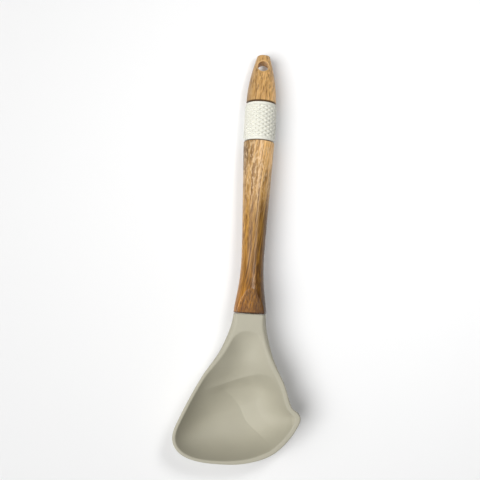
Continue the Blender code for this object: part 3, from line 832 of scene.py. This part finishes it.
def upper_profile():
    """From the nose down to the shoulder above the sleeve."""
    nose = HANDLE_LENGTH - NOSE_ROUND
    side = bezier(
        (END_RADIUS, nose),
        (END_RADIUS + END_SWELL, nose - END_PULL),
        (UPPER_SHOULDER_RADIUS - UPPER_SHOULDER_SWELL, GRIP_END + FIT + UPPER_SHOULDER_PULL),
        (UPPER_SHOULDER_RADIUS, GRIP_END + FIT + GROOVE_CHAMFER),
        UPPER_STEPS,
    )
    turns = np.linspace(math.pi / 2, 0, ROUND_STEPS + 1)[:-1]
    round_end = [
        (END_RADIUS - NOSE_ROUND * (1 - math.cos(turn)), nose + NOSE_ROUND * math.sin(turn))
        for turn in turns
    ]
    return round_end + side


# %% Shaft and flare of the handle
SEAM_PULL = 0.0090
WAIST_AT = 0.0434
WAIST_RADIUS = 0.0092
WAIST_PULL_TO_SEAM = 0.0234
WAIST_PULL_TO_GRIP = 0.0146
LOWER_SHOULDER_RADIUS = 0.01275
LOWER_SHOULDER_PULL = 0.0215
LOWER_SHOULDER_SWELL = 0.00065
WOOD_EDGE = 0.0007
SHAFT_STEPS = 80
FLARE_STEPS = 110


def lower_profile():
    """From the shoulder below the sleeve down to the seam."""
    shaft = bezier(
        (LOWER_SHOULDER_RADIUS, GRIP_AT - FIT - GROOVE_CHAMFER),
        (LOWER_SHOULDER_RADIUS - LOWER_SHOULDER_SWELL, GRIP_AT - FIT - LOWER_SHOULDER_PULL),
        (WAIST_RADIUS, WAIST_AT + WAIST_PULL_TO_GRIP),
        (WAIST_RADIUS, WAIST_AT),
        SHAFT_STEPS,
    )
    flare = bezier(
        (WAIST_RADIUS, WAIST_AT),
        (WAIST_RADIUS, WAIST_AT - WAIST_PULL_TO_SEAM),
        (SEAM_RADIUS, SEAM_PULL),
        (SEAM_RADIUS, 0),
        FLARE_STEPS,
    )
    return shaft[:-1] + [point for point in flare if point[1] > WOOD_EDGE]


# %% Groove and socket of the handle
GRIP_WALL = 0.0017
SOCKET_RADIUS = 0.0045
SOCKET_DEPTH = 0.0510


def handle_profile():
    """Rows of (radius, inset from it, distance along the axis), from the nose to the socket's foot."""
    floor = GRIP_RADIUS - GRIP_WALL - FIT
    groove = [
        (UPPER_SHOULDER_RADIUS - GROOVE_CHAMFER, GRIP_END + FIT),
        (floor, GRIP_END + FIT),
        (floor, GRIP_AT - FIT),
        (LOWER_SHOULDER_RADIUS - GROOVE_CHAMFER, GRIP_AT - FIT),
    ]
    outside = [(0, HANDLE_LENGTH)] + upper_profile() + groove + lower_profile()
    rows = [(radius, 0, along) for radius, along in outside]
    for share in np.linspace(0, 1, ROUND_STEPS):
        rows.append((SEAM_RADIUS, WOOD_EDGE * (1 - math.sqrt(1 - share**2)), WOOD_EDGE * (1 - share)))
    return rows + [(SOCKET_RADIUS, 0, 0), (SOCKET_RADIUS, 0, SOCKET_DEPTH), (0, 0, SOCKET_DEPTH)]


print("profile rows:", len(handle_profile()))

# %% Lathe with two flats
FLAT_SLOPE = math.radians(10.8)
FLAT_EDGE = 0.0004
HANDLE_SIDES = 192
LEAST_SINE = 0.05


def lathe_tree():
    sizes = [
        ("Sides", "NodeSocketInt"), ("Flat Half Thickness", "NodeSocketFloat"),
        ("Flat Slope", "NodeSocketFloat"), ("Flat Edge", "NodeSocketFloat"),
        ("Material", "NodeSocketMaterial"),
    ]
    tree = geometry_tree("turned_handle", sizes)
    given = tree.nodes["Group Input"].outputs
    count = node(tree, "GeometryNodeAttributeDomainSize", {0: given["Geometry"]}).outputs["Point Count"]
    grid, around, row = wrapped_grid(tree, given["Sides"], count)
    place = node(tree, "GeometryNodeInputPosition").outputs[0]
    profile = node(
        tree, "GeometryNodeSampleIndex",
        {"Geometry": given["Geometry"], "Value": place, "Index": row},
        data_type="FLOAT_VECTOR",
    ).outputs[0]
    radius, inset, along = node(tree, "ShaderNodeSeparateXYZ", {0: profile}).outputs
    sine = calc(tree, "ABSOLUTE", calc(tree, "SINE", calc(tree, "MULTIPLY", around, math.tau)))
    slope = calc(tree, "TANGENT", given["Flat Slope"])
    half = calc(tree, "MULTIPLY_ADD", along, slope, given["Flat Half Thickness"])
    flat = calc(tree, "DIVIDE", half, calc(tree, "MAXIMUM", sine, LEAST_SINE))
    radius = calc(tree, "SUBTRACT", calc(tree, "SMOOTH_MIN", radius, flat, given["Flat Edge"]), inset)
    turned = turned_to(tree, grid, around, radius, along)
    close_tree(tree, turned, given["Material"])
    return tree


profile_mesh = bpy.data.meshes.new("handle_profile")
profile_mesh.from_pydata(handle_profile(), [], [])
handle_mesh = grown(
    "spoon_handle", profile_mesh, lathe_tree(),
    {
        "Sides": HANDLE_SIDES, "Flat Half Thickness": NECK_HALF_THICKNESS, "Flat Slope": FLAT_SLOPE,
        "Flat Edge": FLAT_EDGE, "Material": oiled_wood,
    },
    Matrix.Identity(4),
)
outward(handle_mesh)
print("handle faces:", len(handle_mesh.polygons))

# %% [markdown]
# ## The hanging hole
# The hole is drilled square through the flat of the handle's end, and its edges are sanded round. A
# plain cylinder would cut it with a knife edge. The cutter here opens out at both mouths in a quarter
# round that follows the handle's own curve, so the edge comes out rolled.

# %% Cutter for the hole
HOLE_SIDES = 96
ROLL_END = math.radians(80)


def hole_cutter():
    """A round bore whose two mouths roll out over the handle's sides."""
    centre = HANDLE_LENGTH - HOLE_FROM_END
    radii, places = np.array(upper_profile()[::-1]).T
    rolls = np.linspace(0, ROLL_END, ROUND_STEPS)
    mouth = [
        (HOLE_RADIUS + HOLE_ROUND * (1 - math.cos(roll)), HOLE_ROUND * (math.sin(roll) - 1))
        for roll in rolls
    ]
    radius, above = mouth[-1]
    mouth.append((radius + HOLE_ROUND * math.sin(ROLL_END), above + HOLE_ROUND * math.cos(ROLL_END)))
    bm = bmesh.new()
    rings = []
    for side, rows in ((1, mouth[::-1]), (-1, mouth)):
        for radius, above in rows:
            ring = []
            for angle in np.linspace(0, math.tau, HOLE_SIDES, endpoint=False):
                x, z = radius * math.cos(angle), centre + radius * math.sin(angle)
                surface = math.sqrt(np.interp(z, places, radii) ** 2 - x * x)
                ring.append(bm.verts.new((x, side * (surface + above), z)))
            rings.append(ring)
    for first, second in zip(rings, rings[1:]):
        for i in range(HOLE_SIDES):
            j = (i + 1) % HOLE_SIDES
            bm.faces.new((first[i], first[j], second[j], second[i]))
    for ring, side in ((rings[0], 1), (rings[-1], -1)):
        peak = bm.verts.new((0, side * (UPPER_SHOULDER_RADIUS + HOLE_ROUND), centre))
        for i in range(HOLE_SIDES):
            bm.faces.new((ring[i], ring[(i + 1) % HOLE_SIDES], peak))
    bmesh.ops.recalc_face_normals(bm, faces=bm.faces)
    mesh = bpy.data.meshes.new("hole_cutter")
    bm.to_mesh(mesh)
    bm.free()
    return mesh


# %% Cut the hole
SHARP_ANGLE = math.radians(40)


def cut(name, mesh, cutter_mesh):
    """The plain mesh that is left of one mesh when another is cut out of it."""
    cutter_mesh.materials.append(mesh.materials[0])
    block, cutter = show(name + "_block", mesh), show(name + "_cutter", cutter_mesh)
    modifier = block.modifiers.new("cut", "BOOLEAN")
    modifier.operation = "DIFFERENCE"
    modifier.object = cutter
    graph = bpy.context.evaluated_depsgraph_get()
    left = bpy.data.meshes.new_from_object(block.evaluated_get(graph))
    bpy.data.objects.remove(block)
    bpy.data.objects.remove(cutter)
    left.name = name
    return left


drilled = cut("spoon_handle", handle_mesh, hole_cutter())
drilled.shade_smooth()
drilled.set_sharp_from_angle(angle=SHARP_ANGLE)
drilled.transform(handle_place)
handle = show("spoon_handle", drilled)
print("drilled handle faces:", len(drilled.polygons))

# %% [markdown]
# ## The silicone
# Silicone is soft to the touch and nearly matt: it takes light in a little and gives a wide, weak
# gloss. One flat colour would look like paint. The finish has a faint cloudiness, a slightly uneven
# gloss, and the fine matt grain of the mould.

# %% Finish of the silicone pieces
CLOUD_WAVES = 70.0
CLOUD_START, CLOUD_END = 0.3, 0.7
GLOSS_SPREAD = 0.12
MOULD_WAVES = 2600.0
MOULD_RELIEF = 0.0001
HEAD_COLOUR = (0.405, 0.383, 0.298)
GRIP_COLOUR = (0.71, 0.70, 0.62)


def moulded_finish(name, colour, cloud, roughness):
    """A moulded finish whose colour varies by a share of itself."""
    made = bpy.data.materials.new(name)
    made.use_nodes = True
    tree = made.node_tree
    shader = tree.nodes["Principled BSDF"]
    spot = node(tree, "ShaderNodeTexCoord").outputs["Object"]
    noise = {"Vector": spot, "Scale": CLOUD_WAVES, "Detail": 4.0}
    clouds = node(tree, "ShaderNodeTexNoise", noise).outputs[0]
    dark, light = ((*[value * (1 + change) for value in colour], 1) for change in (-cloud, cloud))
    tint = ramp(tree, clouds, ((CLOUD_START, dark), (CLOUD_END, light)))
    wire(tree, shader.inputs["Base Color"], tint)
    gloss = calc(tree, "MULTIPLY_ADD", clouds, GLOSS_SPREAD, roughness - GLOSS_SPREAD / 2)
    wire(tree, shader.inputs["Roughness"], gloss)
    noise = {"Vector": spot, "Scale": MOULD_WAVES, "Detail": 2.0}
    mould = node(tree, "ShaderNodeTexNoise", noise).outputs[0]
    bump = node(tree, "ShaderNodeBump", {"Height": mould, "Strength": 0.06, "Distance": MOULD_RELIEF})
    wire(tree, shader.inputs["Normal"], bump.outputs[0])
    return made


head_silicone = moulded_finish("grey_beige_silicone", HEAD_COLOUR, 0.02, 0.62)
grip_silicone = moulded_finish("cream_silicone", GRIP_COLOUR, 0.015, 0.50)
head_mesh.materials.append(head_silicone)
print("finishes:", head_silicone.name, grip_silicone.name)

# %% [markdown]
# ## The grip sleeve
# The sleeve is a short silicone tube covered with four-sided studs, each row set half a step from the
# next, with a small pit where four studs meet. The studs could be modelled once and set on the tube
# by instances, but they would only stand in it. Moulded studs grow out of the wall, so the tree wraps
# a grid into the tube, raises its points by how near they are to a stud's middle, and sinks them at
# the corners.

# %% Pattern of the studs
STUDS_AROUND = 14
STUD_ROWS = 8
STUD_FOOT = 0.8
STUD_ROUND = 0.5
PIT_DEPTH = 0.0015
PIT_REACH = 0.30
PIT_STEEPNESS = 3.0


def limited(tree, value):
    """A number kept between 0 and 1."""
    return calc(tree, "MINIMUM", calc(tree, "MAXIMUM", value, 0.0), 1.0)


def from_nearest(tree, value):
    """Distance of a number from the nearest whole one."""
    return calc(tree, "ABSOLUTE", calc(tree, "SUBTRACT", value, calc(tree, "ROUND", value)))


def stud_height(tree, given, around, along, pitch):
    """How far the studs stand out of the wall, and their pits go into it."""
    do = partial(calc, tree)
    across = from_nearest(tree, do("MULTIPLY", around, given["Studs Around"]))
    down = do("DIVIDE", do("SUBTRACT", along, given["Rim"]), pitch)
    down = from_nearest(tree, do("ADD", down, 0.5))
    diamond = do("MULTIPLY", do("ADD", across, down), 2.0)
    rise = do("ABSOLUTE", do("SUBTRACT", 1.0, diamond))
    dome = do("SMOOTH_MIN", do("ADD", rise, given["Stud Foot"]), 1.0, STUD_ROUND)
    to_corner = do("SUBTRACT", 0.5, do("ABSOLUTE", do("SUBTRACT", across, down)))
    pit = do("SUBTRACT", 1.0, do("DIVIDE", to_corner, given["Pit Reach"]))
    pit = limited(tree, do("MULTIPLY", pit, given["Pit Steepness"]))
    standing = do("MULTIPLY", dome, given["Stud Height"])
    return do("SUBTRACT", standing, do("MULTIPLY", pit, given["Pit Depth"]))


# %% Tube of the sleeve
POINTS_PER_STUD = 16
SLEEVE_ROWS = 192
SLEEVE_ROUND = 0.0006
SLEEVE_GAP = 0.0005
STUD_FADE = 0.35


def sleeve_tree():
    """A tube with studs: its first row and its last two lie on the bore, the rows between outside."""
    floats = ("Radius", "Wall", "Length", "Rim", "Rim Round", "Stud Height", "Stud Foot")
    floats += ("Pit Depth", "Pit Reach", "Pit Steepness")
    sizes = [(name, "NodeSocketFloat") for name in floats]
    whole = ("Studs Around", "Stud Rows", "Rows", "Points Per Stud")
    sizes += [(name, "NodeSocketInt") for name in whole]
    tree = geometry_tree("studded_sleeve", sizes + [("Material", "NodeSocketMaterial")])
    given = tree.nodes["Group Input"].outputs
    do = partial(calc, tree)

    columns = do("MULTIPLY", given["Studs Around"], given["Points Per Stud"])
    grid, around, row = wrapped_grid(tree, columns, do("ADD", given["Rows"], 3.0))
    share = do("DIVIDE", do("SUBTRACT", row, 1.0), do("SUBTRACT", given["Rows"], 1.0))
    closing = do("GREATER_THAN", row, do("ADD", given["Rows"], 1.5))
    along = do("MULTIPLY", limited(tree, share), given["Length"])
    along = do("MULTIPLY", along, do("SUBTRACT", 1.0, closing))
    past_outside = do("GREATER_THAN", row, do("ADD", given["Rows"], 0.5))
    inner = do("MAXIMUM", do("LESS_THAN", row, 0.5), past_outside)

    to_end = do("MINIMUM", along, do("SUBTRACT", given["Length"], along))
    near = limited(tree, do("SUBTRACT", 1.0, do("DIVIDE", to_end, given["Rim Round"])))
    curve = do("SUBTRACT", 1.0, do("SQRT", do("SUBTRACT", 1.0, do("MULTIPLY", near, near))))
    rounding = do("MULTIPLY", curve, given["Rim Round"])

    studded = do("SUBTRACT", given["Length"], do("MULTIPLY", given["Rim"], 2.0))
    pitch = do("DIVIDE", studded, given["Stud Rows"])
    stud = stud_height(tree, given, around, along, pitch)
    past_rim = do("SUBTRACT", to_end, given["Rim"])
    inside = limited(tree, do("DIVIDE", past_rim, do("MULTIPLY", pitch, STUD_FADE)))
    outer = do("MULTIPLY_ADD", stud, inside, do("SUBTRACT", given["Radius"], rounding))
    bore = do("SUBTRACT", given["Radius"], given["Wall"])
    radius = do("MULTIPLY_ADD", do("SUBTRACT", bore, outer), inner, outer)
    close_tree(tree, turned_to(tree, grid, around, radius, along), given["Material"])
    return tree


# %% Sleeve of staggered studs
sleeve_mesh = grown(
    "spoon_sleeve", bpy.data.meshes.new("sleeve_base"), sleeve_tree(),
    {
        "Radius": GRIP_RADIUS, "Wall": GRIP_WALL, "Length": GRIP_LENGTH - SLEEVE_GAP,
        "Rim": GRIP_RIM, "Rim Round": SLEEVE_ROUND, "Stud Height": STUD_HEIGHT,
        "Stud Foot": STUD_FOOT, "Pit Depth": PIT_DEPTH, "Pit Reach": PIT_REACH,
        "Pit Steepness": PIT_STEEPNESS, "Studs Around": STUDS_AROUND, "Stud Rows": STUD_ROWS,
        "Rows": SLEEVE_ROWS, "Points Per Stud": POINTS_PER_STUD, "Material": grip_silicone,
    },
    handle_place @ Matrix.Translation((0, 0, GRIP_AT)),
)
outward(sleeve_mesh)
sleeve = show("spoon_sleeve", sleeve_mesh)
print("sleeve faces:", len(sleeve_mesh.polygons))

# %% [markdown]
# ## The core
# The stiff core is hidden in the head and the handle, so its solid stays as it is. It still gets the
# finish of the real piece, natural moulded nylon, for anyone who takes the spoon apart.

# %% Finish of the core
CORE_COLOUR = (0.80, 0.79, 0.75)
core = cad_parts["head_core"]
core_nylon = moulded_finish("white_nylon", CORE_COLOUR, 0.01, 0.40)
core.data.materials.clear()
core.data.materials.append(core_nylon)
print("finish:", core_nylon.name)

# %% [markdown]
# ## Tie the pieces to the spoon
# The spoon has no joints, so all pieces ride on its one body. Each piece is listed with the solid it
# stands for, which is hidden, and with the record's finish it has, which the loop does not use.

# %% Pieces on the body
for piece, solid, finish in (
    (head, "silicone_head", "head_silicone"),
    (handle, "wood_handle", "wood"),
    (sleeve, "grip_sleeve", "grip_silicone"),
):
    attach(piece, "root")
    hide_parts(solid)
    print(piece.name, "stands for", solid)

# %% [markdown]
# ## Floor and light
# The spoon lies on a pale floor. The main light is large, soft and far off at the upper left, so it
# lights the floor evenly and lets the bowl's left wall fall into shade. A sun lamp with a wide disc
# does that, where a panel would fade with distance. Two weak panels on the left fill in, and a small
# one near the handle puts the gloss on its swell. The world looks pale to the camera but gives little
# light, so it doesn't wash out the shade.

# %% Floor
FLOOR_SIZE = 6.0
FLOOR_DROP = 0.0002
FLOOR_COLOUR = (0.86, 0.86, 0.86, 1)
FLOOR_ROUGHNESS = 0.9
floor_mesh = bpy.data.meshes.new("floor")
half = FLOOR_SIZE / 2
corners = [(x * half, y * half, -FLOOR_DROP) for x, y in ((-1, -1), (1, -1), (1, 1), (-1, 1))]
floor_mesh.from_pydata(corners, [], [(0, 1, 2, 3)])
floor = show("floor", floor_mesh)
pale = bpy.data.materials.new("pale_floor")
pale.use_nodes = True
pale_shader = pale.node_tree.nodes["Principled BSDF"]
pale_shader.inputs["Base Color"].default_value = FLOOR_COLOUR
pale_shader.inputs["Roughness"].default_value = FLOOR_ROUGHNESS
floor_mesh.materials.append(pale)
print("floor:", FLOOR_SIZE, "m across")


# %% Lights
def lamp(kind, name, place, strength, **settings):
    """A lamp that shines at the spoon."""
    light = bpy.data.lights.new(name, kind)
    light.energy = strength
    for setting, value in settings.items():
        setattr(light, setting, value)
    made = bpy.data.objects.new(name, light)
    made.location = place
    made.rotation_euler = (-Vector(place)).to_track_quat("-Z", "Y").to_euler()
    bpy.context.scene.collection.objects.link(made)
    print(name, "of", strength)


lamp("SUN", "key_light", (-0.61, -0.28, 1.13), 2.58, angle=math.radians(46))
lamp("AREA", "side_light", (-0.92, -0.06, 0.92), 2.4, size=0.70)
lamp("AREA", "low_light", (-1.20, -0.20, 0.45), 0.5, size=0.50)
lamp("AREA", "front_light", (0.15, 0.145, 0.47), 1.0, size=0.15)

# %% World
WORLD_LIGHT = 0.045
WORLD_SHOWN = 0.85
world = bpy.data.worlds.new("studio")
world.use_nodes = True
background = world.node_tree.nodes["Background"]
background.inputs["Color"].default_value = WHITE
seen = node(world.node_tree, "ShaderNodeLightPath").outputs["Is Camera Ray"]
strength = calc(world.node_tree, "MULTIPLY_ADD", seen, WORLD_SHOWN, WORLD_LIGHT)
wire(world.node_tree, background.inputs["Strength"], strength)
bpy.context.scene.world = world
bpy.context.scene.view_settings.view_transform = "Standard"
print("world light:", WORLD_LIGHT, "and", WORLD_SHOWN, "more to the camera")

# %% [markdown]
# ## The camera
# The camera looks almost straight down and leans a little, so the spoon stands slightly askew in the
# picture. Its place follows from one fact: the middle of the seam shows at a known point of the
# picture, at a known size.

# %% Camera
PICTURE = 480
SENSOR = 36.0
LENS = 60.0
METRES_PER_PIXEL = 0.00081
SEAM_PIXEL = (249.75, 313.5)
LOOK_BACK = math.radians(2.4)
ROLL = math.radians(3.2)

back = Vector((0, -math.sin(LOOK_BACK), math.cos(LOOK_BACK)))
level_up = Vector((0, math.cos(LOOK_BACK), math.sin(LOOK_BACK)))
right = Vector((1, 0, 0)) * math.cos(ROLL) + level_up * math.sin(ROLL)
up = level_up * math.cos(ROLL) - Vector((1, 0, 0)) * math.sin(ROLL)
distance = PICTURE * LENS / SENSOR * METRES_PER_PIXEL
eye = seam + back * distance
eye -= right * (SEAM_PIXEL[0] - PICTURE / 2) * METRES_PER_PIXEL
eye += up * (SEAM_PIXEL[1] - PICTURE / 2) * METRES_PER_PIXEL

lens = bpy.data.cameras.new("camera")
lens.lens = LENS
lens.sensor_width = SENSOR
camera = bpy.data.objects.new("camera", lens)
stance = Matrix((right, up, back)).transposed().to_4x4()
stance.translation = eye
camera.matrix_world = stance
bpy.context.scene.collection.objects.link(camera)
bpy.context.scene.camera = camera
print("camera distance:", round(distance, 3))
